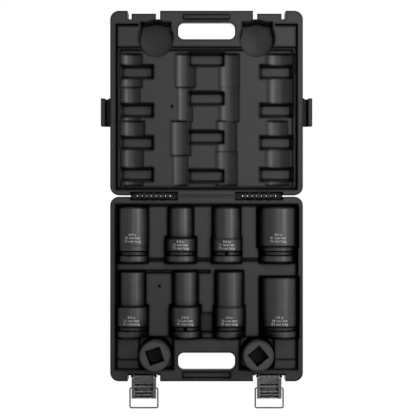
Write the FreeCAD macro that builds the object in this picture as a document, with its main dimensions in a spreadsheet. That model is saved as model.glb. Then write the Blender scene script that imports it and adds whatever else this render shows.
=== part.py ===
import FreeCAD, Part
import os
import re
import Sketcher

# Impact socket set in a moulded carrying case, opened flat. Millimetres, +Z up, lid towards +Y.
# Everything is laid out from the hinge axis: "reach" is a distance from that axis, towards the
# lid's front for the lid and towards the base's front for the base.

SIZES = {
    # lengths of the sockets and the room around their rows
    "short_length": 75.5,
    "deep_length": 91.0,
    "upright_length": 82.0,
    "upright_gap": 1.2,
    "hinge_margin": 15.6,
    "row_rib": 12.2,
    "upright_step": 21.4,
    "front_margin": 17.1,
    "side_margin": 6.15,
    "socket_proud": 12.9,
    # moulded case
    "tab_root": 1.2,
    "floor_thick": 3.4,
    "rim_gap": 0.4,
    "seam_gap": 1.0,
    "corner_radius": 12.0,
    "foot_radius": 7.0,
    "front_rim": 15.5,
    "base_rim": 6.5,
    "base_deck_drop": 8.0,
    "base_deck_margin": 4.6,
    "corner_plate_rise": 2.0,
    "corner_plate_length": 13.5,
    "lid_rim": 10.0,
    "lid_ledge_width": 3.5,
    "lid_ledge_drop": 4.0,
    "lid_deck_drop": 8.5,
    "lid_deck_margin": 3.6,
    "lid_front_rim": 53.0,
    "blow_hole_dia": 3.0,
    "blow_hole_depth": 5.0,
    "rim_groove_width": 2.7,
    "rim_groove_drop": 12.0,
    "pad_width": 31.0,
    "pad_reach": 18.2,
    "base_blow_place": -65.0,
    "base_blow_reach": 124.0,
    "lid_blow_place": -47.5,
    "lid_blow_reach": 123.3,
    # fits between the case and the sockets
    "cradle_fit": 0.4,
    "side_room": 1.6,
    "end_room": 1.4,
    "lid_gap": 0.8,
    "lid_wide_gap": 2.6,
    "upright_room": 2.7,
    "upright_cup_depth": 16.0,
    "sweep_gap": 0.8,
    "lid_well_room": 3.2,
    # finger gaps and moulded slots in the base
    "cross_slot_width": 4.2,
    "cross_slot_drop": 6.0,
    "cross_slot_step": 5.5,
    "finger_width": 18.0,
    "finger_length": 28.0,
    "finger_drop": 24.0,
    "finger_tab": 6.0,
    # tack-off wells in the lid
    "side_well_place": 95.5,
    "side_well_width": 40.0,
    "side_well_reach_1": 29.6,
    "side_well_reach_2": 73.3,
    "side_well_reach_3": 118.0,
    "side_well_reach_4": 171.0,
    "middle_well_width": 45.0,
    "middle_well_reach": 27.5,
    "middle_well_pitch": 53.5,
    "tack_well_length": 14.0,
    "tack_well_drop": 14.0,
    "tack_well_radius": 1.5,
    "tack_well_draft": 12.5,
    # carrying handle
    "handle_width": 78.0,
    "handle_gap": 23.0,
    "handle_radius": 8.0,
    "grip_bar": 16.0,
    "grip_relief": 5.0,
    "grip_plate": 14.0,
    "handle_plate": 89.0,
    "locating_bar_length": 63.0,
    "locating_bar_width": 5.5,
    "locating_bar_rise": 2.0,
    "locating_bar_inset": 8.5,
    "locating_room": 1.5,
    # hinges
    "hinge_place": 72.0,
    "hinge_recess_width": 65.0,
    "hinge_recess_reach": 5.4,
    "hinge_recess_drop": 14.0,
    "knuckle_dia": 9.0,
    "knuckle_width": 5.6,
    "knuckle_gap": 0.8,
    "hinge_pin_dia": 3.5,
    "hinge_pin_end": 1.0,
    "running_fit": 0.05,
    "lip_width": 80.0,
    "lip_gap": 0.06,
    "lip_thick": 3.0,
    "lip_drop": 10.0,
    # latches
    "latch_place": 86.0,
    "notch_width": 44.6,
    "base_notch": 9.6,
    "lid_notch": 11.6,
    "keeper_width": 33.4,
    "keeper_setback": 4.0,
    "hook_gap": 0.4,
    "pivot_inset": 7.0,
    "pivot_drop": 5.5,
    "pivot_pin_dia": 2.5,
    "lug_radius": 2.6,
    "lug_thick": 3.6,
    "lug_gap": 0.3,
    "web_length": 4.1,
    "web_height": 20.0,
    "lever_width": 33.6,
    "lever_length": 31.0,
    "lever_arm": 16.7,
    "lever_back": 2.1,
    "lever_plate": 1.4,
    "lever_pad": 1.8,
    "lever_pad_length": 11.0,
    "lever_rail": 3.0,
    "lever_rail_width": 4.2,
    "lever_rib": 2.0,
    "lever_rib_1": 13.6,
    "lever_rib_2": 20.6,
    "lever_rib_3": 24.9,
    "wire_dia": 2.0,
    "bail_width": 38.2,
    "bail_reach": 27.1,
    "bail_corner": 2.2,
    "bail_seat": 3.2,
    # side brackets on the lid
    "bracket_reach": 96.0,
    "bracket_length": 38.0,
    "bracket_proud": 13.0,
    "bracket_back": 2.4,
    "bracket_plate": 5.6,
    "bracket_floor": 4.0,
    "bracket_height": 26.0,
    "bracket_drop": 2.0,
    # features that every socket shares
    "drive_square": 19.05,
    "square_clearance": 0.2,
    "square_chamfer": 0.7,
    "drive_depth": 26.0,
    "hex_depth": 34.0,
    "bore_relief": 0.6,
    "mouth_flare": 0.5,
    "mouth_depth": 2.4,
    "end_chamfer": 1.6,
    "step_cone": 2.2,
    "groove_inset": 8.9,
    "groove_width": 7.2,
    "groove_depth": 2.0,
    "groove_slope": 1.1,
    "pin_hole_dia": 5.0,
}

# Each socket: its place across the case, body and drive-end diameters, the step's distance from
# the drive end, the hexagon's size across flats, and its turn about its own axis in degrees.
SOCKETS = {
    "socket_short_1": {
        "place": -101.0, "body": 41.8, "drive": 41.2, "step": 24.1, "hexagon": 30.0, "turn": 90,
    },
    "socket_short_2": {
        "place": -35.5, "body": 34.0, "drive": 42.5, "step": 34.4, "hexagon": 22.0, "turn": 90,
    },
    "socket_short_3": {
        "place": 27.4, "body": 39.2, "drive": 41.8, "step": 33.7, "hexagon": 27.0, "turn": 0,
    },
    "socket_short_4": {
        "place": 97.5, "body": 55.0, "drive": 49.5, "step": 23.2, "hexagon": 41.0, "turn": 90,
    },
    "socket_deep_1": {
        "place": -102.5, "body": 36.0, "drive": 43.3, "step": 43.8, "hexagon": 24.0, "turn": 90,
    },
    "socket_deep_2": {
        "place": -29.2, "body": 34.3, "drive": 42.7, "step": 43.8, "hexagon": 23.0, "turn": 0,
    },
    "socket_deep_3": {
        "place": 31.0, "body": 38.5, "drive": 42.5, "step": 43.3, "hexagon": 26.0, "turn": 90,
    },
    "socket_deep_4": {
        "place": 99.6, "body": 52.5, "drive": 52.0, "step": 24.0, "hexagon": 38.0, "turn": 90,
        "shorter": 8.0,
    },
    "socket_upright_left": {
        "place": -69.7, "body": 42.0, "drive": 41.6, "step": 24.0, "hexagon": 32.0, "turn": 19,
    },
    "socket_upright_right": {
        "place": 69.7, "body": 42.0, "drive": 41.6, "step": 24.0, "hexagon": 31.0, "turn": 40,
    },
}
LYING = [name for name in SOCKETS if "upright" not in name]
UPRIGHT = [name for name in SOCKETS if "upright" in name]
SIDES = {"left": "-", "right": ""}

for socket, values in SOCKETS.items():
    for key, value in values.items():
        SIZES[f"{socket}_{key}"] = value


def widest(socket):
    """Formula of a socket's largest diameter."""
    return f"max({socket}_body; {socket}_drive)"


def length_of(socket):
    """Formula of a socket's length."""
    row = socket.split("_")[1]
    shorter = f" - {socket}_shorter" if "shorter" in SOCKETS[socket] else ""
    return f"{row}_length{shorter}"


outer_edges = "; ".join(f"abs({socket}_place) + {widest(socket)} / 2" for socket in SOCKETS)
upright_widest = "; ".join(widest(socket) for socket in UPRIGHT)

# Sizes that follow from the ones above.
DERIVED = {
    "half_height": "(upright_length + upright_gap) / 2 + floor_thick",
    "half_width": f"max({outer_edges}) + side_margin",
    "row_one_end": "hinge_margin + short_length",
    "row_two_start": "row_one_end + row_rib",
    "row_two_end": "row_two_start + deep_length",
    "upright_reach": "row_two_end + upright_step",
    "upright_radius": f"max({upright_widest}) / 2",
    "upright_top": "upright_length + floor_thick - half_height",
    "half_depth": "upright_reach + upright_radius + front_margin",
    "rim_top": "half_height - rim_gap / 2",
    "over": "half_height + base_deck_drop",
    "under": "-floor_thick",
    "front_inner": "half_depth - front_rim",
    "handle_end": "half_depth - grip_bar",
    "handle_start": "handle_end - handle_gap",
    "lid_deck_end": "half_depth - lid_front_rim",
    "lid_well_radius": "upright_radius + lid_well_room",
    "lid_well_front": "sqrt((upright_reach + upright_radius) ^ 2 + upright_top ^ 2) + sweep_gap",
    "lid_well_reach": "lid_well_front - lid_well_radius",
    "knuckle_pitch": "knuckle_width + knuckle_gap",
    "pivot_reach": "half_depth - pivot_inset",
    "pivot_height": "half_height - pivot_drop",
    "lug_outer": "bail_width / 2 - wire_dia / 2 - lug_gap",
    "lug_inner": "lug_outer - lug_thick",
    "bail_bar_reach": "pivot_reach + lever_arm + bail_reach",
    "keeper_drop": "bail_reach - lever_arm - pivot_drop - wire_dia / 2 - hook_gap",
    "hinge_y": "(bail_bar_reach + wire_dia / 2 - half_depth) / 2",
}
KNUCKLES = 7

doc = FreeCAD.newDocument("socket_set_case")
sheet = doc.addObject("Spreadsheet::Sheet", "Sizes")
for row, (name, value) in enumerate(SIZES.items(), start=1):
    sheet.set(f"A{row}", name)
    sheet.set(f"B{row}", str(value))
    sheet.setAlias(f"B{row}", name)
doc.recompute()
probe = doc.addObject("App::FeaturePython", "Probe")
probe.addProperty("App::PropertyFloat", "Value")
pieces = []


def formula(text):
    """Sheet formula for a text that uses the names above."""
    def spell(match):
        word = match[0]
        if word in DERIVED:
            return f"({formula(DERIVED[word])})"
        return f"Sizes.{word}" if word in SIZES else word
    return re.sub(r"[a-z]\w*", spell, text)


def number(text):
    """Value of a formula."""
    probe.setExpression("Value", formula(text))
    probe.recompute()
    return probe.Value


def bind(item, **texts):
    """Tie an object's properties to formulas; a double underscore stands for a dot."""
    for prop, text in texts.items():
        item.setExpression(prop.replace("__", "."), formula(text))


def move_to(item, x="0", y="0", z="0"):
    """Tie an object's place to formulas."""
    bind(item, Placement__Base__x=x, Placement__Base__y=y, Placement__Base__z=z)


def block(name, x, y, z):
    """Box between two formulas along each axis."""
    item = doc.addObject("Part::Box", name)
    bind(item, Length=f"{x[1]} - ({x[0]})", Width=f"{y[1]} - ({y[0]})", Height=f"{z[1]} - ({z[0]})")
    move_to(item, x[0], y[0], z[0])
    return item


TURNS = {
    "x": FreeCAD.Rotation(FreeCAD.Vector(0, 1, 0), 90),
    "y": FreeCAD.Rotation(FreeCAD.Vector(1, 0, 0), -90),
    "z": FreeCAD.Rotation(),
}


def rod(name, axis, radius, span, x="0", y="0", z="0"):
    """Cylinder along one axis between two formulas."""
    item = doc.addObject("Part::Cylinder", name)
    item.Placement.Rotation = TURNS[axis]
    bind(item, Radius=radius, Height=f"{span[1]} - ({span[0]})")
    place = {"x": x, "y": y, "z": z}
    place[axis] = span[0]
    move_to(item, **place)
    return item


def fuse(name, items):
    """All the items as one solid."""
    item = doc.addObject("Part::MultiFuse", name)
    item.Shapes = items
    item.Refine = True
    return item


def cut(name, base, tool):
    """The base without the tool."""
    item = doc.addObject("Part::Cut", name)
    item.Base = base
    item.Tool = tool
    item.Refine = True
    return item


def cut_groups(name, base, groups):
    """The base without groups of forms, one group after another; forms in a group stand apart."""
    for group, forms in groups.items():
        tool = doc.addObject("Part::Compound", f"{name}_{group}_forms")
        tool.Links = forms
        base = cut(f"{name}_{group}", base, tool)
        base.Refine = False
    return base


def plane_of(body, role):
    """One of a body's own origin planes."""
    return next(item for item in body.Origin.OriginFeatures if item.Role == role)


def outline(body, name, role, points, rise="0"):
    """Closed sketch whose corners are tied to formulas."""
    sketch = body.newObject("Sketcher::SketchObject", name)
    sketch.AttachmentSupport = [(plane_of(body, role), "")]
    sketch.MapMode = "FlatFace"
    bind(sketch, AttachmentOffset__Base__z=rise)
    corners = [(number(u), number(v)) for u, v in points]
    count = len(points)
    for index in range(count):
        start = FreeCAD.Vector(*corners[index], 0)
        end = FreeCAD.Vector(*corners[(index + 1) % count], 0)
        sketch.addGeometry(Part.LineSegment(start, end))
    for index in range(count):
        sketch.addConstraint(Sketcher.Constraint("Coincident", index, 2, (index + 1) % count, 1))
    for index, texts in enumerate(points):
        for kind, text, value in zip(("DistanceX", "DistanceY"), texts, corners[index]):
            place = sketch.addConstraint(Sketcher.Constraint(kind, -1, 1, index, 1, value))
            sketch.setExpression(f"Constraints[{place}]", formula(text))
    return sketch


def edges_where(shape, test):
    """Names of the edges that pass a test."""
    return [f"Edge{index}" for index, edge in enumerate(shape.Edges, start=1) if test(edge)]


def is_upright(edge):
    """True for a straight edge along Z, or nearly so."""
    return abs(edge.tangentAt(edge.FirstParameter).z) > 0.9


def rounded_block(name, x, y, z, corner, foot=None, draft=None):
    """Padded box with rounded upright edges and, if asked, a rounded foot or sloping sides."""
    body = doc.addObject("PartDesign::Body", name)
    points = [(x[0], y[0]), (x[1], y[0]), (x[1], y[1]), (x[0], y[1])]
    sketch = outline(body, f"{name}_sketch", "XY_Plane", points, z[0])
    pad = body.newObject("PartDesign::Pad", f"{name}_pad")
    pad.Profile = sketch
    bind(pad, Length=f"{z[1]} - ({z[0]})")
    if draft:
        bind(pad, TaperAngle=draft)
    doc.recompute()
    round_off(body, f"{name}_corners", pad, corner, is_upright)
    if foot:
        low = number(z[0])
        round_off(body, f"{name}_foot", body.Tip, foot, lambda edge: abs(edge.BoundBox.ZMax - low) < 1e-4)
    return body


def round_off(body, name, feature, radius, test):
    """Fillet on the edges of a feature that pass a test."""
    fillet = body.newObject("PartDesign::Fillet", name)
    fillet.Base = (feature, edges_where(feature.Shape, test))
    bind(fillet, Radius=radius)
    body.Tip = fillet
    doc.recompute()


def sub_part(item, label, **place):
    """Name a finished piece and put it in the model's frame."""
    item.Label = label
    place["y"] = f"hinge_y + ({place.get('y', '0')})"
    move_to(item, **place)
    pieces.append(item)


def around(centre, width):
    """Bounds of a width about a centre."""
    return (f"{centre} - ({width}) / 2", f"{centre} + ({width}) / 2")


class Half:
    """One moulded half: its cuts, and what stands on it."""

    def __init__(self, name, sign):
        self.name = name
        self.sign = sign
        self.cuts = {}
        self.added = []
        self.bores = []

    def at(self, reach):
        """Place along Y of a reach from the hinge axis."""
        return f"{self.sign}({reach})"

    def span(self, near, far):
        """Bounds along Y between two reaches."""
        ends = (self.at(near), self.at(far))
        return ends if self.sign == "" else ends[::-1]

    def take(self, group, form):
        """Add a form to a group of cuts that stand apart."""
        self.cuts.setdefault(group, []).append(form)

    def pocket(self, group, name, x, reach, z):
        """Box cut out of the half."""
        self.take(group, block(f"{self.name}_{name}", x, self.span(*reach), z))

    def trough(self, group, name, x, z, radius, reach):
        """Lying cylinder cut out of the half."""
        self.take(group, rod(f"{self.name}_{name}", "y", radius, self.span(*reach), x=x, z=z))

    def well(self, group, name, x, reach, radius, z):
        """Standing cylinder cut out of the half."""
        self.take(group, rod(f"{self.name}_{name}", "z", radius, z, x=x, y=self.at(reach)))

    def rounded_pocket(self, group, name, x, reach, z, radius, draft=None):
        """Box with rounded upright edges cut out of the half, wider at the top by a draft angle."""
        self.take(group, rounded_block(f"{self.name}_{name}", x, self.span(*reach), z, radius, draft=draft))

    def moulded(self):
        """The finished half: outer form, less its cuts, with what stands on it."""
        name = self.name
        outer = rounded_block(f"{name}_outer", ("-half_width", "half_width"),
                              self.span("seam_gap", "half_depth"), ("0", "rim_top"),
                              "corner_radius", foot="foot_radius")
        carved = cut_groups(f"{name}_carved", outer, self.cuts)
        whole = fuse(f"{name}_whole", [carved] + self.added)
        bores = doc.addObject("Part::Compound", f"{name}_bores")
        bores.Links = self.bores
        return cut(f"{name}_moulded", whole, bores)


def socket_height(socket):
    """Height of a lying socket's axis."""
    return f"half_height + socket_proud - {widest(socket)} / 2"


def segments(socket):
    """Body and drive-end stretches of a lying socket: diameter, first reach and last reach."""
    row_end = "row_one_end" if "short" in socket else "row_two_end"
    start = f"{row_end} - ({length_of(socket)})"
    step = f"{row_end} - {socket}_step"
    return {
        "body": (f"{socket}_body", f"{start} - end_room", f"{step} + step_cone + end_room"),
        "drive": (f"{socket}_drive", f"{step} - end_room", f"{row_end} + end_room"),
    }


def shared_features(half):
    """Handle, hinge recesses, knuckles and lip, which both halves have."""
    half.rounded_pocket("edges", "handle", around("0", "handle_width"), ("handle_start", "handle_end"),
                        ("under", "over"), "handle_radius")
    half.rounded_pocket("reliefs", "handle_relief", around("0", "handle_width + 2 * grip_relief"),
                        ("handle_start", "handle_end + grip_relief"),
                        ("under", "half_height - grip_plate"), "handle_radius")
    lip = half.span("lip_gap", "lip_gap + lip_thick")
    half.added.append(block(f"{half.name}_lip", around("0", "lip_width"), lip,
                            ("rim_top - lip_drop", "rim_top")))
    first = 0 if half.name == "base" else 1
    for side, sign in SIDES.items():
        centre = f"{sign}hinge_place"
        half.pocket("edges", f"hinge_recess_{side}", around(centre, "hinge_recess_width"),
                    ("0", "hinge_recess_reach"), ("half_height - hinge_recess_drop", "over"))
        half.added.append(block(f"{half.name}_low_lip_{side}", around(centre, "hinge_recess_width"), lip,
                                ("half_height - hinge_recess_drop - lip_drop",
                                 "half_height - hinge_recess_drop")))
        for index in range(first, KNUCKLES, 2):
            middle = f"{centre} + {index - KNUCKLES // 2} * knuckle_pitch"
            x = around(middle, "knuckle_width")
            name = f"{half.name}_knuckle_{side}_{index}"
            half.added.append(rod(name, "x", "knuckle_dia / 2", x, z="half_height"))
            half.added.append(block(f"{name}_arm", x, half.span("0", "hinge_recess_reach + tab_root"),
                                    ("half_height - knuckle_dia / 2", "rim_top")))
        half.bores.append(rod(f"{half.name}_hinge_bore_{side}", "x", "hinge_pin_dia / 2 + running_fit",
                              around(centre, f"{KNUCKLES} * knuckle_pitch"), z="half_height"))


def rim_groove(half, outside, near, far):
    """Narrow groove inside the rim, along both sides and the hinge."""
    z = ("half_height - rim_groove_drop", "over")
    for side, sign in SIDES.items():
        edges = [f"{sign}({outside} - rim_groove_width)", f"{sign}({outside})"]
        x = edges if sign == "" else edges[::-1]
        half.pocket("side_grooves", f"side_groove_{side}", x, (near, far), z)
    half.pocket("hinge_grooves", "hinge_groove", around("0", f"2 * ({outside})"),
                (near, f"{near} + rim_groove_width"), z)


def lug_spans(place):
    """X ranges of the two lugs that carry one latch lever, inside the legs of its bail."""
    return {
        "low": (f"{place} - lug_outer", f"{place} - lug_inner"),
        "high": (f"{place} + lug_inner", f"{place} + lug_outer"),
    }


def make_base():
    """Lower half: decks, lying pockets, standing wells, finger gaps and latch notches."""
    half = Half("base", "-")
    shared_features(half)
    deck = ("half_height - base_deck_drop", "over")
    inside = "half_width - base_rim"
    half.pocket("deck", "deck", around("0", f"2 * ({inside})"),
                ("hinge_margin - base_deck_margin", "row_two_end + end_room"), deck)
    rim_groove(half, inside, "hinge_margin - base_deck_margin", "front_inner")
    for side, sign in SIDES.items():
        edges = [f"{sign}handle_plate / 2", f"{sign}({inside})"]
        x = edges if sign == "" else edges[::-1]
        step = "front_inner - corner_plate_length"
        half.pocket("corners", f"corner_{side}", x, ("row_two_end", step), deck)
        half.pocket("plates", f"corner_plate_{side}", x, ("row_two_end", "front_inner"),
                    ("half_height - base_deck_drop + corner_plate_rise", "over"))
        half.pocket("edges", f"notch_{side}", around(f"{sign}latch_place", "notch_width"),
                    ("half_depth - base_notch", "half_depth + base_notch"), ("under", "over"))
        bore = around(f"{sign}latch_place", "bail_width")
        half.bores.append(rod(f"base_pivot_bore_{side}", "x", "pivot_pin_dia / 2 + running_fit", bore,
                              y="-(pivot_reach)", z="pivot_height"))
        for end, x in lug_spans(f"{sign}latch_place").items():
            name = f"base_lug_{side}_{end}"
            half.added.append(block(name, x, half.span("half_depth - base_notch - tab_root", "pivot_reach"),
                                    around("pivot_height", "2 * lug_radius")))
            half.added.append(rod(f"{name}_eye", "x", "lug_radius", x, y="-(pivot_reach)", z="pivot_height"))
            low, high = around(f"{sign}latch_place", "notch_width + 2 * tab_root")
            web = (low, x[0]) if end == "low" else (x[1], high)
            half.added.append(block(f"base_web_{side}_{end}", web,
                                    half.span("half_depth - base_notch - tab_root",
                                              "half_depth - base_notch + web_length"),
                                    ("floor_thick", "web_height")))
    for socket in LYING:
        height = socket_height(socket)
        for part, (diameter, first, last) in segments(socket).items():
            name = f"{socket}_{part}"
            width = around(f"{socket}_place", f"{diameter} + 2 * side_room")
            half.pocket(f"{part}_mouths", f"{name}_mouth", width, (first, last), (height, "over"))
            half.trough(f"{part}_cradles", f"{name}_cradle", f"{socket}_place", height,
                        f"{diameter} / 2 + cradle_fit", (first, last))
    for socket in UPRIGHT:
        width = around(f"{socket}_place", f"{widest(socket)} + 2 * upright_room")
        half.rounded_pocket("wells", f"{socket}_well", width,
                            ("upright_reach - upright_radius - end_room", "front_inner"),
                            ("floor_thick + upright_cup_depth", "over"), "foot_radius")
        half.well("cups", f"{socket}_cup", f"{socket}_place", "upright_reach",
                  f"{widest(socket)} / 2 + cradle_fit",
                  ("floor_thick", "floor_thick + 2 * upright_cup_depth"))
    slot = ("half_height - base_deck_drop - cross_slot_drop", "over")
    half.pocket("gaps", "cross_slot_one", around("0", f"2 * ({inside})"),
                ("row_one_end - cross_slot_step", "row_one_end - cross_slot_step + cross_slot_width"), slot)
    half.pocket("gaps", "cross_slot_two", (f"-({inside})", "cross_slot_step"),
                ("row_two_start - end_room", "row_two_start - end_room + cross_slot_width"), slot)
    finger_end = "row_two_end - finger_tab"
    half.pocket("gaps", "finger_gap", around("0", "finger_width"),
                (f"{finger_end} - finger_length", finger_end),
                ("half_height - base_deck_drop - finger_drop", "over"))
    half.pocket("deck", "locating_inset", around("0", "locating_bar_length + 2 * locating_room"),
                ("half_depth - locating_bar_inset - locating_bar_width / 2 - locating_room",
                 "half_depth - locating_bar_inset + locating_bar_width / 2 + locating_room"),
                ("half_height - locating_bar_rise - locating_room", "over"))
    half.take("gaps", rod("base_blow_hole", "z", "blow_hole_dia / 2",
                          ("half_height - base_deck_drop - blow_hole_depth", "over"),
                          x="base_blow_place", y="-base_blow_reach"))
    return half.moulded()


def make_lid():
    """Upper half: stepped deck, troughs over the sockets, tack-off wells, standing wells and keepers."""
    half = Half("lid", "")
    shared_features(half)
    ledge = "half_width - lid_rim"
    start = "hinge_margin - lid_deck_margin"
    half.pocket("ledge", "ledge", around("0", f"2 * ({ledge})"),
                (f"{start} - lid_ledge_width", "lid_deck_end + lid_ledge_width"),
                ("half_height - lid_ledge_drop", "over"))
    half.pocket("deck", "deck", around("0", f"2 * ({ledge} - lid_ledge_width)"), (start, "lid_deck_end"),
                ("half_height - lid_deck_drop", "over"))
    rim_groove(half, f"{ledge} + rim_groove_width", f"{start} - lid_ledge_width", "half_depth - pad_reach")
    for side, sign in SIDES.items():
        edges = [f"{sign}({ledge} + rim_groove_width - pad_width)", f"{sign}({ledge} + rim_groove_width)"]
        half.pocket("pad_grooves", f"pad_groove_{side}", edges if sign == "" else edges[::-1],
                    ("half_depth - pad_reach - rim_groove_width", "half_depth - pad_reach"),
                    ("half_height - rim_groove_drop", "over"))
    for socket in LYING:
        height = socket_height(socket)
        values = SOCKETS[socket]
        for part, (diameter, first, last) in segments(socket).items():
            gap = "lid_gap" if values[part] == max(values["body"], values["drive"]) else "lid_wide_gap"
            if part == "drive" and "short" in socket:
                last = "row_two_start"
            # the closed lid stands upside down over the base, so the axis is as far above the rim
            half.trough(f"{part}_troughs", f"{socket}_{part}", f"{socket}_place",
                        f"2 * half_height - ({height})", f"{diameter} / 2 + {gap}", (first, last))
    for socket in UPRIGHT:
        half.well("wells", f"{socket}_well", f"{socket}_place", "lid_well_reach", "lid_well_radius",
                  ("floor_thick", "over"))
        half.pocket("well_fronts", f"{socket}_front", around(f"{socket}_place", "2 * upright_radius"),
                    ("lid_well_reach", "half_depth - pad_reach + rim_groove_width"),
                    ("floor_thick", "over"))
    tack = ("half_height - lid_deck_drop - tack_well_drop", "over")
    for row in range(1, 5):
        for side, sign in SIDES.items():
            half.rounded_pocket("tacks", f"side_well_{side}_{row}",
                                around(f"{sign}side_well_place", "side_well_width"),
                                around(f"side_well_reach_{row}", "tack_well_length"), tack,
                                "tack_well_radius", "tack_well_draft")
        middle = f"middle_well_reach + {row - 1} * middle_well_pitch"
        half.rounded_pocket("tacks", f"middle_well_{row}", around("0", "middle_well_width"),
                            around(middle, "tack_well_length"), tack, "tack_well_radius", "tack_well_draft")
    for side, sign in SIDES.items():
        half.pocket("edges", f"notch_{side}", around(f"{sign}latch_place", "notch_width"),
                    ("half_depth - lid_notch", "half_depth + lid_notch"), ("under", "over"))
        half.added.append(block(f"lid_keeper_{side}", around(f"{sign}latch_place", "keeper_width"),
                                ("half_depth - lid_notch - tab_root", "half_depth - keeper_setback"),
                                ("half_height - (keeper_drop)", "rim_top")))
    half.added.append(block("lid_locating_bar", around("0", "locating_bar_length"),
                            around("half_depth - locating_bar_inset", "locating_bar_width"),
                            ("rim_top - tab_root", "half_height + locating_bar_rise")))
    half.take("tacks", rod("lid_blow_hole", "z", "blow_hole_dia / 2",
                           ("half_height - lid_deck_drop - blow_hole_depth", "over"),
                           x="lid_blow_place", y="lid_blow_reach"))
    return half.moulded()


def make_hinge_pin(side, sign):
    """Steel pin through one row of knuckles."""
    length = f"{KNUCKLES} * knuckle_width + {KNUCKLES - 1} * knuckle_gap + 2 * hinge_pin_end"
    pin = rod(f"hinge_pin_{side}_rod", "x", "hinge_pin_dia / 2", around(f"{sign}hinge_place", length))
    sub_part(pin, f"hinge_pin_{side}", x=around(f"{sign}hinge_place", length)[0], z="half_height")


def make_pivot_pin(side, sign):
    """Steel pin that carries one latch lever between its two lugs."""
    x = around(f"{sign}latch_place", "2 * lug_outer")
    pin = rod(f"pivot_pin_{side}_rod", "x", "pivot_pin_dia / 2", x)
    sub_part(pin, f"latch_pivot_pin_{side}", x=x[0], y="-(pivot_reach)", z="pivot_height")


def make_lever(side, sign):
    """Ribbed latch lever about its pivot, lying outwards."""
    name = f"lever_{side}"
    full = around("0", "lever_width")
    length = ("-lever_length", "0")
    solids = [
        block(f"{name}_plate", full, length, ("-lever_back", "lever_plate - lever_back")),
        block(f"{name}_pad", full, ("-lever_pad_length", "0"), ("-lever_back", "lever_pad")),
        rod(f"{name}_barrel", "x", "lever_back", full),
    ]
    for end in ("-", ""):
        edges = [f"{end}lever_width / 2", f"{end}(lever_width / 2 - lever_rail_width)"]
        x = edges if end == "-" else edges[::-1]
        solids.append(block(f"{name}_rail_{len(solids)}", x, length, ("-lever_back", "lever_rail")))
    for near in ("lever_rib_1", "lever_rib_2", "lever_rib_3", "lever_length - lever_rib"):
        rib = (f"-({near} + lever_rib)", f"-({near})")
        solids.append(block(f"{name}_rib_{len(solids)}", full, rib, ("-lever_back", "lever_pad")))
    bores = [rod(f"{name}_pivot_bore", "x", "pivot_pin_dia / 2 + running_fit", around("0", "notch_width"))]
    for end in ("-", ""):
        edges = [f"{end}notch_width / 2", f"{end}(lever_width / 2 - bail_seat - running_fit)"]
        x = edges if end == "-" else edges[::-1]
        bores.append(rod(f"{name}_bail_bore_{len(bores)}", "x", "wire_dia / 2 + running_fit", x,
                         y="-lever_arm"))
    for end, (low, high) in lug_spans("0").items():
        bores.append(block(f"{name}_relief_{end}", (f"{low} - lug_gap", f"{high} + lug_gap"),
                           ("-(lug_radius + 2 * lug_gap)", "lever_back + lug_gap"),
                           ("-(lever_back + lug_gap)", "lever_rail + lug_gap")))
    lever = cut(name, fuse(f"{name}_solid", solids), fuse(f"{name}_bores", bores))
    sub_part(lever, f"latch_lever_{side}", x=f"{sign}latch_place", y="-(pivot_reach)", z="pivot_height")


def bend(name, x, y, first_angle):
    """Quarter turn of the bail's wire in the XY plane, starting at an angle."""
    item = doc.addObject("Part::Torus", name)
    item.Placement.Rotation = FreeCAD.Rotation(FreeCAD.Vector(0, 0, 1), first_angle)
    item.Angle3 = 90
    bind(item, Radius1="bail_corner", Radius2="wire_dia / 2")
    move_to(item, x, y)
    return item


def make_bail(side, sign):
    """Wire loop about its own pivot, with its ends turned into the lever."""
    name = f"bail_{side}"
    radius = "wire_dia / 2"
    leg = "bail_width / 2"
    wires = [rod(f"{name}_bar", "x", radius, around("0", "bail_width - 2 * bail_corner"), y="-bail_reach")]
    for end, low_angle, high_angle in (("-", 180, 90), ("", 270, 0)):
        inside = f"{end}({leg} - bail_corner)"
        tip = f"{end}(lever_width / 2 - bail_seat)"
        x = (inside, tip) if end == "-" else (tip, inside)
        count = len(wires)
        wires.append(rod(f"{name}_tip_{count}", "x", radius, x))
        wires.append(rod(f"{name}_leg_{count}", "y", radius, ("-bail_reach + bail_corner", "-bail_corner"),
                         x=f"{end}{leg}"))
        wires.append(bend(f"{name}_low_{count}", inside, "-bail_reach + bail_corner", low_angle))
        wires.append(bend(f"{name}_high_{count}", inside, "-bail_corner", high_angle))
    bail = fuse(name, wires)
    sub_part(bail, f"latch_bail_{side}", x=f"{sign}latch_place", y="-(pivot_reach + lever_arm)",
             z="pivot_height")


def make_bracket(side, sign):
    """U-section bracket on one side of the lid."""
    name = f"bracket_{side}"
    reach = ("bracket_reach", "bracket_reach + bracket_length")
    top = "half_height - bracket_drop"
    foot = f"{top} - bracket_height"
    steps = {
        "back": ("0", "bracket_back", (foot, top)),
        "floor": ("0", "bracket_proud", (foot, f"{foot} + bracket_floor")),
        "plate": ("bracket_proud - bracket_plate", "bracket_proud", (foot, top)),
    }
    solids = []
    for part, (near, far, z) in steps.items():
        edges = [f"{sign}(half_width + {near})", f"{sign}(half_width + {far})"]
        solids.append(block(f"{name}_{part}", edges if sign == "" else edges[::-1], reach, z))
    sub_part(fuse(name, solids), f"lid_side_bracket_{side}")


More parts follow.
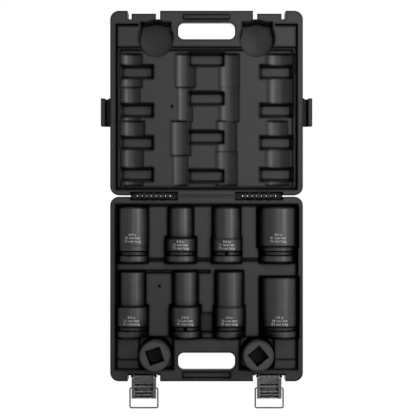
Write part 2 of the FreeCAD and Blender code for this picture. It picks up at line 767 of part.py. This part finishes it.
def ring_points(socket):
    """Half section of a socket: radius and height, from the hexagon's mouth to the drive end."""
    length = length_of(socket)
    body = f"{socket}_body / 2"
    drive = f"{socket}_drive / 2"
    bore = f"{socket}_hexagon / 2 - bore_relief"
    step = f"{length} - {socket}_step"
    groove_top = f"{length} - groove_inset"
    groove_foot = f"{groove_top} - groove_width"
    return [
        (f"{socket}_hexagon / sqrt(3) + mouth_flare", "0"),
        (f"{body} - end_chamfer", "0"),
        (body, "end_chamfer"),
        (body, step),
        (drive, f"{step} + step_cone"),
        (drive, groove_foot),
        (f"{drive} - groove_depth", f"{groove_foot} + groove_slope"),
        (f"{drive} - groove_depth", f"{groove_top} - groove_slope"),
        (drive, groove_top),
        (drive, f"{length} - end_chamfer"),
        (f"{drive} - end_chamfer", length),
        ("0", length),
        ("0", f"{length} - drive_depth"),
        (bore, f"{length} - drive_depth"),
        (bore, "mouth_depth"),
    ]


def pocket_in(body, name, sketch, **settings):
    """Pocket in a body, checked to take material away."""
    before = body.Tip.Shape.Volume
    pocket = body.newObject("PartDesign::Pocket", name)
    pocket.Profile = sketch
    for prop, value in settings.items():
        if isinstance(value, str) and prop == "Length":
            bind(pocket, Length=value)
        else:
            setattr(pocket, prop, value)
    body.Tip = pocket
    doc.recompute()
    if not pocket.Shape.Volume < before:
        raise RuntimeError(f"{name} cuts nothing")
    return pocket


def make_socket(socket):
    """Turned socket with its hexagon, bore, drive square and cross hole, along its own Z."""
    length = length_of(socket)
    body = doc.addObject("PartDesign::Body", f"{socket}_body")
    ring = body.newObject("PartDesign::Revolution", f"{socket}_ring")
    ring.Profile = outline(body, f"{socket}_section", "XZ_Plane", ring_points(socket))
    ring.ReferenceAxis = (ring.Profile[0], ["V_Axis"])
    ring.Angle = 360
    body.Tip = ring
    doc.recompute()
    flat = f"{socket}_hexagon / 2"
    corner = f"{socket}_hexagon / sqrt(3)"
    hexagon = [(corner, "0"), (f"{corner} / 2", flat), (f"-{corner} / 2", flat),
               (f"-{corner}", "0"), (f"-{corner} / 2", f"-{flat}"), (f"{corner} / 2", f"-{flat}")]
    sketch = outline(body, f"{socket}_hexagon_sketch", "XY_Plane", hexagon)
    pocket_in(body, f"{socket}_hexagon_hole", sketch, Reversed=True, Length="hex_depth")
    half = "(drive_square + square_clearance) / 2"
    square = [(half, f"-{half}"), (half, half), (f"-{half}", half), (f"-{half}", f"-{half}")]
    sketch = outline(body, f"{socket}_square_sketch", "XY_Plane", square, length)
    hole = pocket_in(body, f"{socket}_square_hole", sketch, Length="drive_depth")
    top = number(length)
    reach = number(half) * 1.01
    mouth = edges_where(hole.Shape, lambda edge: edge.BoundBox.ZMin > top - 1e-4
                        and edge.BoundBox.XMax < reach)
    chamfer = body.newObject("PartDesign::Chamfer", f"{socket}_square_mouth")
    chamfer.Base = (hole, mouth)
    bind(chamfer, Size="square_chamfer")
    body.Tip = chamfer
    doc.recompute()
    sketch = body.newObject("Sketcher::SketchObject", f"{socket}_pin_sketch")
    sketch.AttachmentSupport = [(plane_of(body, "XZ_Plane"), "")]
    sketch.MapMode = "FlatFace"
    height = f"{length} - groove_inset - groove_width / 2"
    centre = FreeCAD.Vector(0, number(height), 0)
    sketch.addGeometry(Part.Circle(centre, FreeCAD.Vector(0, 0, 1), number("pin_hole_dia / 2")))
    sketch.addConstraint(Sketcher.Constraint("PointOnObject", 0, 3, -2))
    sketch.addConstraint(Sketcher.Constraint("DistanceY", -1, 1, 0, 3, centre.y))
    sketch.setExpression("Constraints[1]", formula(height))
    sketch.addConstraint(Sketcher.Constraint("Diameter", 0, number("pin_hole_dia")))
    sketch.setExpression("Constraints[2]", formula("pin_hole_dia"))
    pocket_in(body, f"{socket}_pin_hole", sketch, Type="ThroughAll", Midplane=True)
    return body


def lay_socket(socket):
    """A socket in its pocket, hexagon towards the hinge."""
    body = make_socket(socket)
    down = FreeCAD.Rotation(FreeCAD.Vector(1, 0, 0), 90)
    body.Placement.Rotation = down * FreeCAD.Rotation(FreeCAD.Vector(0, 0, 1), SIZES[f"{socket}_turn"])
    row_end = "row_one_end" if "short" in socket else "row_two_end"
    sub_part(body, socket, x=f"{socket}_place", y=f"-({row_end} - ({length_of(socket)}))",
             z=socket_height(socket))


def stand_socket(socket):
    """A socket in its cup, drive end up."""
    body = make_socket(socket)
    body.Placement.Rotation = FreeCAD.Rotation(FreeCAD.Vector(0, 0, 1), SIZES[f"{socket}_turn"])
    sub_part(body, socket, x=f"{socket}_place", y="-(upright_reach)", z="floor_thick")


sub_part(make_base(), "base_shell")
sub_part(make_lid(), "lid_shell")
for side, sign in SIDES.items():
    make_hinge_pin(side, sign)
    make_pivot_pin(side, sign)
    make_lever(side, sign)
    make_bail(side, sign)
    make_bracket(side, sign)
for socket in LYING:
    lay_socket(socket)
for socket in UPRIGHT:
    stand_socket(socket)
doc.removeObject(probe.Name)
doc.recompute()

for item in doc.Objects:
    if "Invalid" in item.State or "Error" in item.State:
        raise RuntimeError(f"{item.Label} failed: {item.State}")
for item in pieces:
    if item.Shape.isNull() or not item.Shape.isValid():
        raise RuntimeError(f"{item.Label} has no valid shape")

os.makedirs("parts", exist_ok=True)
for item in pieces:
    item.Shape.exportStep(f"parts/{item.Label}.step")
    print(item.Label, len(item.Shape.Solids), round(item.Shape.Volume / 1000, 1), "cm3")
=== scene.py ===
"""Looks of an impact socket set in a moulded carrying case, opened flat. Metres, in the CAD frame."""

from __future__ import annotations

import logging
import math
from dataclasses import dataclass
from enum import Enum
from typing import Any, Sequence

import bpy
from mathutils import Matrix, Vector

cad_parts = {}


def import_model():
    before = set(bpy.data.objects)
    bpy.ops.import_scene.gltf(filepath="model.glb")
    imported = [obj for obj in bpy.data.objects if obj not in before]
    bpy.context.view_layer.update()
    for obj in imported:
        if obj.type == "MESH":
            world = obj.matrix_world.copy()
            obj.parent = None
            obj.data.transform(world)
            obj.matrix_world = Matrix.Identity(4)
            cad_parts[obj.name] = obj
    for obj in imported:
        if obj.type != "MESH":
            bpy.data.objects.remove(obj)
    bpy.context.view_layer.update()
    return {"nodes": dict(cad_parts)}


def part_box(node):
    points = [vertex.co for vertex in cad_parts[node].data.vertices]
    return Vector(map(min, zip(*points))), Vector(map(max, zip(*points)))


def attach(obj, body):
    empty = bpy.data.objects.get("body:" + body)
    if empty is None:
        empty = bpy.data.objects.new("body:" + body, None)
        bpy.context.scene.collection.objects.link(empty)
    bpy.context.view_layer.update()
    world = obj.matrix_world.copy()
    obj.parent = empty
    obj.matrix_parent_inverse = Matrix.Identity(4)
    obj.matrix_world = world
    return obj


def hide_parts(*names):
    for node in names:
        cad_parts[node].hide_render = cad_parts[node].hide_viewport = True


LOG = logging.getLogger("socket_set")
MM = 0.001
Colour = tuple[float, float, float]
# Colour of the matt surface that paints shade in recesses and along edges.
PAINTED_SHADE_BLACK: Colour = (0.001, 0.001, 0.001)
WHITE: Colour = (1.0, 1.0, 1.0)
SPREAD = ((0.3, 0.0), (0.7, 1.0))
EDGE_STOPS = ((0.001, 0.0), (0.012, 1.0))
SHADER_SAMPLES = 8
MERGE_DISTANCE = 0.002 * MM
ROUND_ANGLE = math.radians(30.0)
BEVEL_ANGLE = math.radians(20.0)


class Axis(Enum):
    """Direction that a socket was turned about."""

    LYING = (0.0, 1.0, 0.0)
    STANDING = (0.0, 0.0, 1.0)


class Value:
    """A node's output that takes part in Python arithmetic."""

    def __init__(self, graph: "Graph", socket: bpy.types.NodeSocket) -> None:
        """Wraps one output of a graph."""
        self.graph = graph
        self.socket = socket

    def _maths(self, operation: str, first: Any, second: Any) -> "Value":
        """Adds a Math node.

        Args:
            operation: Name of the Math node's operation.
            first: Number or Value for the first input.
            second: Number or Value for the second input.

        Returns:
            The node's result.
        """
        return self.graph.node("ShaderNodeMath", {"operation": operation}, {0: first, 1: second})

    def __add__(self, other: Any) -> "Value":
        """Sum."""
        return self._maths("ADD", self, other)

    def __mul__(self, other: Any) -> "Value":
        """Product."""
        return self._maths("MULTIPLY", self, other)

    def __sub__(self, other: Any) -> "Value":
        """Difference."""
        return self._maths("SUBTRACT", self, other)

    def __rsub__(self, other: Any) -> "Value":
        """Difference from a number."""
        return self._maths("SUBTRACT", other, self)

    def maximum(self, other: Any) -> "Value":
        """Larger of two values."""
        return self._maths("MAXIMUM", self, other)

    __radd__ = __add__
    __rmul__ = __mul__


class Graph:
    """Node tree of one material or world."""

    def __init__(self, tree: bpy.types.NodeTree) -> None:
        """Empties a node tree and keeps it."""
        self.tree = tree
        tree.nodes.clear()

    def node(self, kind: str, settings: dict[str, Any], inputs: dict[Any, Any], output: Any = 0) -> Value:
        """Adds one node.

        Args:
            kind: The node's type name.
            settings: Properties of the node, set first.
            inputs: Values or links by input name or number.
            output: Name or number of the output to return.

        Returns:
            The chosen output.
        """
        made = self.tree.nodes.new(kind)
        for name, value in settings.items():
            if name == "stops":
                self._set_stops(made.color_ramp, value)
            else:
                setattr(made, name, value)
        for name, value in inputs.items():
            if isinstance(value, Value):
                self.tree.links.new(value.socket, made.inputs[name])
            else:
                made.inputs[name].default_value = value
        return Value(self, made.outputs[output] if made.outputs else None)

    @staticmethod
    def _set_stops(ramp: bpy.types.ColorRamp, stops: Sequence[tuple[float, float]]) -> None:
        """Gives a ramp its grey stops, each a place and a level."""
        while len(ramp.elements) < len(stops):
            ramp.elements.new(0.5)
        for element, (place, level) in zip(ramp.elements, stops):
            element.position = place
            element.color = (level, level, level, 1.0)

    def place(self, stretch: Sequence[float] = (1.0, 1.0, 1.0)) -> Value:
        """Object coordinates, stretched along each axis."""
        raw = self.node("ShaderNodeTexCoord", {}, {}, "Object")
        return self.node("ShaderNodeMapping", {}, {"Vector": raw, "Scale": tuple(stretch)})

    def noise(self, place: Value, scale: float, detail: float = 2.0) -> Value:
        """Soft noise between 0 and 1."""
        return self.node("ShaderNodeTexNoise", {}, {"Vector": place, "Scale": scale, "Detail": detail})

    def ramp(self, value: Value, stops: Sequence[tuple[float, float]]) -> Value:
        """Value put through a ramp of grey stops."""
        return self.node("ShaderNodeValToRGB", {"stops": stops}, {"Fac": value})

    def tint(self, factor: Any, low: Colour, high: Colour) -> Value:
        """Colour between two colours."""
        inputs = {0: factor, 6: (*low, 1.0), 7: (*high, 1.0)}
        return self.node("ShaderNodeMix", {"data_type": "RGBA"}, inputs, 2)

    def rounded(self, radius: float) -> Value:
        """Normal with the edges rounded to a radius."""
        return self.node("ShaderNodeBevel", {"samples": SHADER_SAMPLES}, {"Radius": radius})

    def edge(self, radius: float) -> Value:
        """One on edges and in corners, nought from about a radius away."""
        normal = self.node("ShaderNodeNewGeometry", {}, {}, "Normal")
        inputs = {0: self.rounded(radius), 1: normal}
        likeness = self.node("ShaderNodeVectorMath", {"operation": "DOT_PRODUCT"}, inputs, "Value")
        return self.ramp(1.0 - likeness, EDGE_STOPS)

    def openness(self, reach: float, shut: float, clear: float) -> Value:
        """Nought deep in a recess or close to another piece, one in the open.

        Args:
            reach: How far away a wall still counts.
            shut: Share of open sky that counts as nought.
            clear: Share of open sky that counts as one.

        Returns:
            The level in between.
        """
        sky = self.node("ShaderNodeAmbientOcclusion", {"samples": SHADER_SAMPLES}, {"Distance": reach}, "AO")
        return self.ramp(sky, ((shut, 0.0), (clear, 1.0)))

    def bump(self, height: Value, strength: float, distance: float, radius: float = 0.0) -> Value:
        """Normal that a height bends, over edges rounded to a radius."""
        inputs = {"Height": height, "Strength": strength, "Distance": distance}
        if radius:
            inputs["Normal"] = self.rounded(radius)
        return self.node("ShaderNodeBump", {}, inputs)

    def surface(self, inputs: dict[str, Any], painted_shade: Value | None = None) -> None:
        """Closes a material with one Principled surface, mixed by the given factor into a matt black surface
        that paints shade.
        """
        shader = self.node("ShaderNodeBsdfPrincipled", {}, inputs)
        # Mixing into matt black paints shade.
        if painted_shade:
            black = self.node("ShaderNodeBsdfDiffuse", {}, {"Color": (*PAINTED_SHADE_BLACK, 1.0)})
            shader = self.node("ShaderNodeMixShader", {}, {0: painted_shade, 1: shader, 2: black})
        self.node("ShaderNodeOutputMaterial", {}, {"Surface": shader})


def new_graph(name: str) -> tuple[bpy.types.Material, Graph]:
    """Makes an empty material.

    Args:
        name: The material's name.

    Returns:
        The material and its graph.
    """
    material = bpy.data.materials.new(name)
    material.use_nodes = True
    return material, Graph(material.node_tree)


@dataclass(frozen=True)
class MouldedPlastic:
    """Black blow-moulded plastic with a fine grain and rougher matt patches; the dark lines along its edges
    and its darker colour in recesses are painted shade.
    """

    name: str = "moulded_plastic"
    # Colour where the recesses are deepest: painted shade.
    painted_shade_colour: Colour = (0.0008, 0.0008, 0.0008)
    light: Colour = (0.0145, 0.0145, 0.0148)
    roughness: float = 0.38
    edge_radius: float = 1.2 * MM
    # Width of the dark lines drawn along edges and in corners: painted shade.
    shade_line_radius: float = 4.4 * MM
    # How far nearby walls reach in darkening the colour: painted shade.
    painted_shade_reach: float = 9.0 * MM
    specular: float = 0.2
    patch_scale: float = 26.0
    grain_scale: float = 1500.0
    flow_scale: float = 140.0
    flow_stretch: tuple[float, float, float] = (1.0, 0.12, 1.0)
    bump_strength: float = 0.16
    bump_height: float = 0.2 * MM

    def material(self) -> bpy.types.Material:
        """The finish as a material."""
        material, graph = new_graph(self.name)
        place = graph.place()
        patches = graph.noise(place, self.patch_scale, 4.0)
        grain = graph.noise(place, self.grain_scale, 3.0)
        flow = graph.noise(graph.place(self.flow_stretch), self.flow_scale, 3.0)
        shade = graph.ramp(patches * 0.6 + flow * 0.4, ((0.3, 0.7), (0.7, 1.0)))
        # Ambient occlusion darkens the colour in recesses and deepens the black lines along edges: painted
        # shade.
        clear = graph.openness(self.painted_shade_reach, 0.35, 0.95)
        painted_shade = graph.edge(self.shade_line_radius) * (0.98 - clear * 0.48)
        graph.surface({
            "Base Color": graph.tint(shade * clear, self.painted_shade_colour, self.light),
            "Specular IOR Level": self.specular,
            "Roughness": self.roughness - 0.08 + patches * 0.12 + grain * 0.06,
            "Normal": graph.bump(grain + flow * 0.25, self.bump_strength, self.bump_height, self.edge_radius),
        }, painted_shade)
        return material


@dataclass(frozen=True)
class BlackPhosphate:
    """Black phosphate on turned steel, with faint rings about the socket's axis; the dark lines on its edges
    and its black sides in the pocket are painted shade.
    """

    name: str
    axis: Axis
    dark: Colour = (0.012, 0.012, 0.0122)
    light: Colour = (0.022, 0.022, 0.0224)
    roughness: float = 0.36
    # Width of the dark lines drawn along edges and grooves: painted shade.
    shade_line_radius: float = 1.0 * MM
    # How far the pocket walls reach in blacking out the socket: painted shade.
    pocket_shade_reach: float = 30.0 * MM
    specular: float = 0.3
    ring_scale: float = 1900.0
    ring_stretch: float = 0.02
    cloud_scale: float = 70.0
    speckle_scale: float = 2600.0
    bump_strength: float = 0.10
    bump_height: float = 0.2 * MM

    def material(self) -> bpy.types.Material:
        """The finish as a material."""
        material, graph = new_graph(self.name)
        along = [self.ring_stretch + part for part in self.axis.value]
        rings = graph.noise(graph.place(along), self.ring_scale)
        place = graph.place()
        cloud = graph.noise(place, self.cloud_scale, 4.0)
        speckle = graph.noise(place, self.speckle_scale)
        shade = graph.ramp(cloud * 0.7 + speckle * 0.3, SPREAD)
        # Black lines along edges and grooves, and black where the pocket walls are near: painted shade.
        clear = graph.openness(self.pocket_shade_reach, 0.76, 1.0)
        graph.surface({
            "Base Color": graph.tint(shade, self.dark, self.light),
            "Roughness": self.roughness - 0.06 + cloud * 0.1 + speckle * 0.06,
            "Specular IOR Level": self.specular,
            "Normal": graph.bump(rings * 0.6 + speckle * 0.4, self.bump_strength, self.bump_height),
        }, (graph.edge(self.shade_line_radius) * 0.8).maximum(0.95 - clear * 0.95))
        return material


@dataclass(frozen=True)
class Metal:
    """Bare or plated metal with drawing marks along X."""

    name: str
    dark: Colour
    light: Colour
    roughness: float
    mark_scale: float = 3000.0
    mark_stretch: tuple[float, float, float] = (0.03, 1.0, 1.0)
    stain_scale: float = 220.0
    bump_strength: float = 0.08
    bump_height: float = 0.1 * MM

    def material(self) -> bpy.types.Material:
        """The finish as a material."""
        material, graph = new_graph(self.name)
        marks = graph.noise(graph.place(self.mark_stretch), self.mark_scale)
        stain = graph.noise(graph.place(), self.stain_scale, 3.0)
        shade = graph.ramp(stain * 0.7 + marks * 0.3, SPREAD)
        graph.surface({
            "Base Color": graph.tint(shade, self.dark, self.light),
            "Roughness": self.roughness - 0.05 + stain * 0.1,
            "Metallic": 1.0,
            "Normal": graph.bump(marks, self.bump_strength, self.bump_height),
        })
        return material


@dataclass(frozen=True)
class WornPaint:
    """Dark painted steel whose edges are rubbed through to bright metal, partly real wear and partly a
    painted highlight, and whose slots are painted black as shade.
    """

    name: str = "worn_paint"
    paint: Colour = (0.036, 0.036, 0.037)
    # Colour of the rubbed edges: worn-through metal that also stands in for glints, a painted highlight.
    bare_and_glint: Colour = (0.42, 0.42, 0.43)
    roughness: float = 0.32
    edge_radius: float = 0.7 * MM
    # How far walls reach in blacking out the slots: painted shade.
    slot_shade_reach: float = 5.0 * MM
    scuff_scale: float = 420.0
    bump_strength: float = 0.12
    bump_height: float = 0.1 * MM

    def material(self) -> bpy.types.Material:
        """The finish as a material."""
        material, graph = new_graph(self.name)
        scuffs = graph.noise(graph.place(), self.scuff_scale, 4.0)
        clear = graph.openness(self.slot_shade_reach, 0.45, 0.9)
        rubbed = graph.ramp(scuffs, ((0.42, 0.0), (0.62, 1.0)))
        # Bright edges only in the open: partly real wear, partly painted highlight.
        wear = graph.edge(self.edge_radius) * clear * rubbed
        # Black in the slots and recesses: painted shade.
        graph.surface({
            "Base Color": graph.tint(wear, self.paint, self.bare_and_glint),
            "Roughness": self.roughness - 0.06 + scuffs * 0.14,
            "Metallic": wear * 0.8,
            "Normal": graph.bump(scuffs, self.bump_strength, self.bump_height, self.edge_radius),
        }, 0.95 - clear * 0.95)
        return material


@dataclass(frozen=True)
class EtchedGrey:
    """Pale grey of the etched size numbers, worn unevenly."""

    name: str = "etched_grey"
    dark: Colour = (0.14, 0.14, 0.14)
    light: Colour = (0.52, 0.52, 0.52)
    roughness: float = 0.55
    wear_scale: float = 900.0
    bump_strength: float = 0.1
    bump_height: float = 0.1 * MM

    def material(self) -> bpy.types.Material:
        """The finish as a material."""
        material, graph = new_graph(self.name)
        wear = graph.noise(graph.place(), self.wear_scale, 3.0)
        shade = graph.ramp(wear, ((0.35, 0.0), (0.6, 1.0)))
        graph.surface({
            "Base Color": graph.tint(shade, self.dark, self.light),
            "Roughness": self.roughness + wear * 0.2,
            "Normal": graph.bump(wear, self.bump_strength, self.bump_height),
        })
        return material


def deselect() -> None:
    """Leaves edit mode and deselects everything."""
    if bpy.context.object and bpy.context.object.mode != "OBJECT":
        bpy.ops.object.mode_set(mode="OBJECT")
    bpy.ops.object.select_all(action="DESELECT")


def activate(piece: bpy.types.Object) -> None:
    """Makes a piece the only selected and active one."""
    deselect()
    piece.select_set(True)
    bpy.context.view_layer.objects.active = piece


def apply_modifier(piece: bpy.types.Object, kind: str, **settings: Any) -> None:
    """Adds a modifier to a piece and applies it.

    Args:
        piece: The mesh object.
        kind: The modifier's type.
        settings: Its properties.
    """
    activate(piece)
    modifier = piece.modifiers.new(kind.lower(), kind)
    for name, value in settings.items():
        setattr(modifier, name, value)
    bpy.ops.object.modifier_apply(modifier=modifier.name)


def dress(piece: bpy.types.Object, material: bpy.types.Material) -> None:
    """Gives a piece one material all over."""
    piece.data.materials.clear()
    piece.data.materials.append(material)


def merged_copy(node: bpy.types.Object, name: str) -> bpy.types.Object:
    """Copies a CAD node's mesh, with its doubled points merged.

    Args:
        node: The CAD node's object.
        name: Name of the copy.

    Returns:
        The copy, which rides on nothing yet.
    """
    piece = bpy.data.objects.new(name, node.data.copy())
    bpy.context.scene.collection.objects.link(piece)
    activate(piece)
    bpy.ops.object.mode_set(mode="EDIT")
    bpy.ops.mesh.select_all(action="SELECT")
    bpy.ops.mesh.remove_doubles(threshold=MERGE_DISTANCE)
    bpy.ops.object.mode_set(mode="OBJECT")
    return piece


def even_shading(piece: bpy.types.Object, angle: float) -> None:
    """Shades a piece smooth across edges below an angle, with its flat faces kept flat."""
    activate(piece)
    bpy.ops.object.shade_smooth_by_angle(angle=angle)


@dataclass(frozen=True)
class SoftEdged:
    """A CAD node with its sharp edges rounded, as moulded, cast or deburred pieces are."""

    node: str
    body: str
    slot: str
    edge_radius: float
    edge_steps: int = 2
    sharp_angle: float = math.radians(55.0)

    def build(self, nodes: dict[str, bpy.types.Object], material: bpy.types.Material) -> bpy.types.Object:
        """Rounds the node's edges in a copy and dresses it.

        Args:
            nodes: The CAD nodes by name.
            material: Its finish.

        Returns:
            The finished piece.
        """
        piece = merged_copy(nodes[self.node], f"{self.node}_rounded")
        even_shading(piece, BEVEL_ANGLE)
        apply_modifier(piece, "BEVEL", width=self.edge_radius, segments=self.edge_steps, limit_method="ANGLE",
                       angle_limit=self.sharp_angle, use_clamp_overlap=False, miter_outer="MITER_ARC",
                       harden_normals=True)
        dress(piece, material)
        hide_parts(self.node)
        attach(piece, self.body)
        return piece


@dataclass(frozen=True)
class SocketMarks:
    """Etched size numbers on the upper side of one lying socket."""

    socket: str
    lines: tuple[str, ...]
    reach: float
    height: float = 3.3 * MM
    pitch: float = 4.5 * MM
    proud: float = 0.03 * MM
    depth: float = 0.3 * MM
    lift: float = 5.0 * MM
    capital_share: float = 0.7

    def build(self, nodes: dict[str, bpy.types.Object], material: bpy.types.Material) -> bpy.types.Object:
        """Lays the numbers on the socket.

        Args:
            nodes: The CAD nodes by name.
            material: The etched grey.

        Returns:
            The finished piece.
        """
        low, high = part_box(self.socket)
        deselect()
        bpy.ops.object.text_add(location=((low.x + high.x) / 2, self.reach, high.z + self.lift))
        piece = bpy.context.object
        piece.name = f"{self.socket}_marks"
        text = piece.data
        text.body = "\n".join(self.lines)
        text.size = self.height / self.capital_share
        text.space_line = self.pitch / text.size
        text.align_x = "CENTER"
        text.align_y = "CENTER"
        bpy.ops.object.convert(target="MESH")
        bpy.ops.object.transform_apply(location=True, rotation=True, scale=True)
        apply_modifier(piece, "SHRINKWRAP", target=nodes[self.socket], wrap_method="PROJECT",
                       use_project_z=True, use_negative_direction=True, use_positive_direction=False,
                       offset=self.proud)
        apply_modifier(piece, "SOLIDIFY", thickness=self.depth, offset=-1.0)
        dress(piece, material)
        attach(piece, self.socket)
        return piece


@dataclass(frozen=True)
class Lamp:
    """One soft lamp, aimed at the middle of the object."""

    name: str
    place: tuple[float, float, float]
    power: float
    length: float
    width: float

    def build(self) -> None:
        """Adds the lamp."""
        data = bpy.data.lights.new(self.name, "AREA")
        data.energy = self.power
        data.shape = "RECTANGLE"
        data.size = self.length
        data.size_y = self.width
        lamp = bpy.data.objects.new(self.name, data)
        bpy.context.scene.collection.objects.link(lamp)
        lamp.location = self.place
        lamp.rotation_euler = (-Vector(self.place)).to_track_quat("-Z", "Y").to_euler()


@dataclass(frozen=True)
class Studio:
    """White table, soft light from the upper right and the camera straight above."""

    lamps: tuple[Lamp, ...] = (
        Lamp("key", (1.30, 0.75, 1.75), 66.0, 1.7, 0.55),
        Lamp("top", (0.25, 0.3, 2.6), 13.0, 0.8, 0.8),
    )
    ambient: float = 0.06
    camera_place: tuple[float, float, float] = (0.002, 0.0025, 2.245)
    lens: float = 139.0
    sensor: float = 36.0
    view_reach: float = 50.0
    floor_size: float = 12.0
    floor_drop: float = 0.4 * MM
    floor_colour: Colour = (0.8, 0.8, 0.8)

    @staticmethod
    def _seen(graph: Graph) -> Value:
        """One where the camera, a reflection or a clear piece looks at it."""
        seen = graph.node("ShaderNodeLightPath", {}, {}, "Is Camera Ray")
        for name in ("Is Glossy Ray", "Is Transmission Ray"):
            seen = seen.maximum(graph.node("ShaderNodeLightPath", {}, {}, name))
        return seen

    def _world(self) -> None:
        """White where it is seen, dim where it lights the object."""
        world = bpy.data.worlds.new("white_room")
        bpy.context.scene.world = world
        world.use_nodes = True
        graph = Graph(world.node_tree)
        strength = self.ambient + self._seen(graph) * (1.0 - self.ambient)
        light = graph.node("ShaderNodeBackground", {}, {"Color": (*WHITE, 1.0), "Strength": strength})
        graph.node("ShaderNodeOutputWorld", {}, {"Surface": light})

    def _floor(self) -> None:
        """White table top under the case."""
        deselect()
        bpy.ops.mesh.primitive_plane_add(size=self.floor_size, location=(0.0, 0.0, -self.floor_drop))
        floor = bpy.context.object
        floor.name = "table_top"
        material, graph = new_graph("table_white")
        matt = graph.node("ShaderNodeBsdfDiffuse", {}, {"Color": (*self.floor_colour, 1.0)})
        glow = graph.node("ShaderNodeEmission", {}, {"Color": (*WHITE, 1.0), "Strength": 1.0})
        mixed = graph.node("ShaderNodeMixShader", {}, {0: self._seen(graph), 1: matt, 2: glow})
        graph.node("ShaderNodeOutputMaterial", {}, {"Surface": mixed})
        dress(floor, material)

    def _camera(self) -> None:
        """Camera straight above, with the lid at the top of the picture."""
        data = bpy.data.cameras.new("camera")
        data.lens = self.lens
        data.sensor_width = self.sensor
        data.dof.use_dof = False
        data.clip_end = self.view_reach
        camera = bpy.data.objects.new("camera", data)
        bpy.context.scene.collection.objects.link(camera)
        camera.location = self.camera_place
        camera.rotation_euler = (0.0, 0.0, 0.0)
        bpy.context.scene.camera = camera

    def build(self) -> None:
        """Sets the whole stage."""
        bpy.context.scene.view_settings.view_transform = "Standard"
        self._world()
        self._floor()
        self._camera()
        for lamp in self.lamps:
            lamp.build()


SIDES = ("left", "right")
BRACKET_EDGE = 0.6 * MM
LEVER_EDGE = 0.1 * MM
MARKS = (
    SocketMarks("socket_short_1", ("3/4 in", "30 mm hex", "75 mm long"), -0.0385),
    SocketMarks("socket_short_2", ("3/4 in", "22 mm hex", "75 mm long"), -0.0480),
    SocketMarks("socket_short_3", ("3/4 in", "27 mm hex", "75 mm long"), -0.0480),
    SocketMarks("socket_short_4", ("3/4 in", "41 mm hex", "75 mm long"), -0.0385),
    SocketMarks("socket_deep_1", ("3/4 in", "24 mm hex", "91 mm long"), -0.1515),
    SocketMarks("socket_deep_2", ("3/4 in", "23 mm hex", "91 mm long"), -0.1515),
    SocketMarks("socket_deep_3", ("3/4 in", "26 mm hex", "91 mm long"), -0.1515),
    SocketMarks("socket_deep_4", ("3/4 in", "38 mm hex", "83 mm long"), -0.1515),
)


def dress_nodes(nodes: dict[str, bpy.types.Object], plastic: bpy.types.Material) -> None:
    """Gives the CAD nodes that stay their finishes.

    Args:
        nodes: The CAD nodes by name.
        plastic: The case's finish.
    """
    lying = BlackPhosphate("black_phosphate_lying", Axis.LYING).material()
    standing = BlackPhosphate("black_phosphate_standing", Axis.STANDING).material()
    wire = Metal("dark_wire", (0.03, 0.03, 0.03), (0.08, 0.08, 0.08), 0.32).material()
    pin = Metal("bright_pin", (0.52, 0.52, 0.53), (0.72, 0.72, 0.73), 0.25).material()
    finishes = {
        "socket_upright": standing, "socket": lying, "latch_bail": wire, "hinge_pin": pin,
        "latch_pivot_pin": pin, "base_shell": plastic, "lid_shell": plastic,
    }
    for name, node in nodes.items():
        for start, material in finishes.items():
            if name.startswith(start):
                dress(node, material)
                even_shading(node, ROUND_ANGLE)
                LOG.info("dressed %s", name)
                break


def main() -> None:
    """Builds and dresses every piece around the CAD frame."""
    logging.basicConfig(level=logging.INFO)
    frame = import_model()
    nodes = frame["nodes"]
    plastic = MouldedPlastic().material()
    lever = WornPaint().material()
    etched = EtchedGrey().material()
    for side in SIDES:
        bracket = SoftEdged(f"lid_side_bracket_{side}", "lid", "case", BRACKET_EDGE)
        arm = SoftEdged(f"latch_lever_{side}", f"lever_{side}", "lever", LEVER_EDGE)
        for piece, finish in ((bracket, plastic), (arm, lever)):
            made = piece.build(nodes, finish)
            LOG.info("built %s with %d faces", made.name, len(made.data.polygons))
    dress_nodes(nodes, plastic)
    for marks in MARKS:
        LOG.info("built %s", marks.build(nodes, etched).name)
    Studio().build()


if __name__ == "__main__":
    main()
